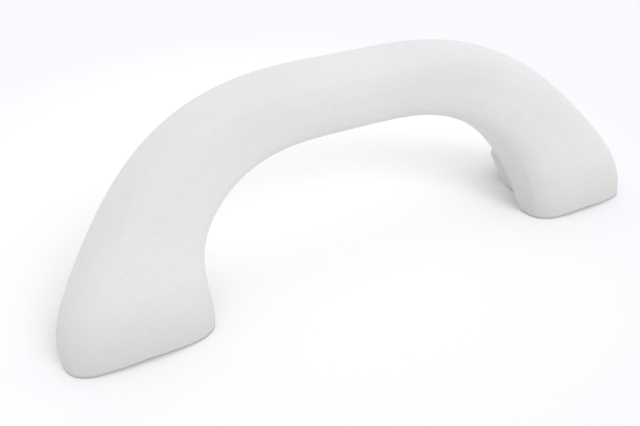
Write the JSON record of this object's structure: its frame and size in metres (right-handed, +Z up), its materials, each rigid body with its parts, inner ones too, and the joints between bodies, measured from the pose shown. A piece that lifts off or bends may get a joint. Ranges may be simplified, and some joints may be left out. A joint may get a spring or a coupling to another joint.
{
  "type": "roof grab handle",
  "caption": "Folding roof grab handle: smooth pale grey arched moulding standing on its feet, each holding a sprung hinge bracket; one hinge is damped.",
  "frame": {"origin": "on the ground plane under the feet, at the middle of the handle's length and depth", "axes": "+X along the handle towards its right foot, +Y from the smooth front to the back with the brackets, +Z up from the feet to the crown"},
  "size_m": [0.2308, 0.0528, 0.0677],
  "materials": {
    "grip_plastic": "fine matte grain",
    "cover_plastic": "fine matte grain",
    "bracket_plastic": "matte, glass filled",
    "screw_cover_plastic": "fine matte grain",
    "damper_plastic": "satin",
    "rotor_plastic": "satin, natural",
    "pin_steel": "drawn and zinc plated",
    "spring_steel": "drawn wire",
    "collar_steel": "turned and zinc plated",
    "stop_rubber": "matte",
    "seal_rubber": "greased",
    "pad_foam": "closed-cell foam"
  },
  "bodies": {
    "grip": {"grip_shell": "grip_plastic", "back_cover": "cover_plastic", "hinge_pin_left": "pin_steel", "hinge_pin_right": "pin_steel", "bump_stop_left": "stop_rubber", "bump_stop_right": "stop_rubber", "damper_rotor": "rotor_plastic", "return_spring_left": "spring_steel", "return_spring_right": "spring_steel"},
    "right_bracket": {"bracket_right": "bracket_plastic", "bolt_collar_right": "collar_steel", "screw_cover_right": "screw_cover_plastic", "foam_pad_right": "pad_foam", "damper_housing": "damper_plastic", "damper_seal": "seal_rubber", "damper_cap": "damper_plastic"},
    "left_bracket": {"bracket_left": "bracket_plastic", "bolt_collar_left": "collar_steel", "screw_cover_left": "screw_cover_plastic", "foam_pad_left": "pad_foam"}
  },
  "joints": [
    {"name": "right_bracket_hinge", "type": "hinge", "parent": "grip", "child": "right_bracket", "pos_m": [0.086, -0.015, 0.0065], "axis": [1, 0, 0], "range_deg": [-90, 0], "stiffness_Nm_per_rad": 0.03, "springref_deg": 22.92, "deforming": ["return_spring_right"]},
    {"name": "left_bracket_hinge", "type": "hinge", "parent": "grip", "child": "left_bracket", "pos_m": [-0.086, -0.015, 0.0065], "axis": [1, 0, 0], "range_deg": [-90, 0], "stiffness_Nm_per_rad": 0.03, "springref_deg": 22.92, "deforming": ["return_spring_left"]}
  ]
}
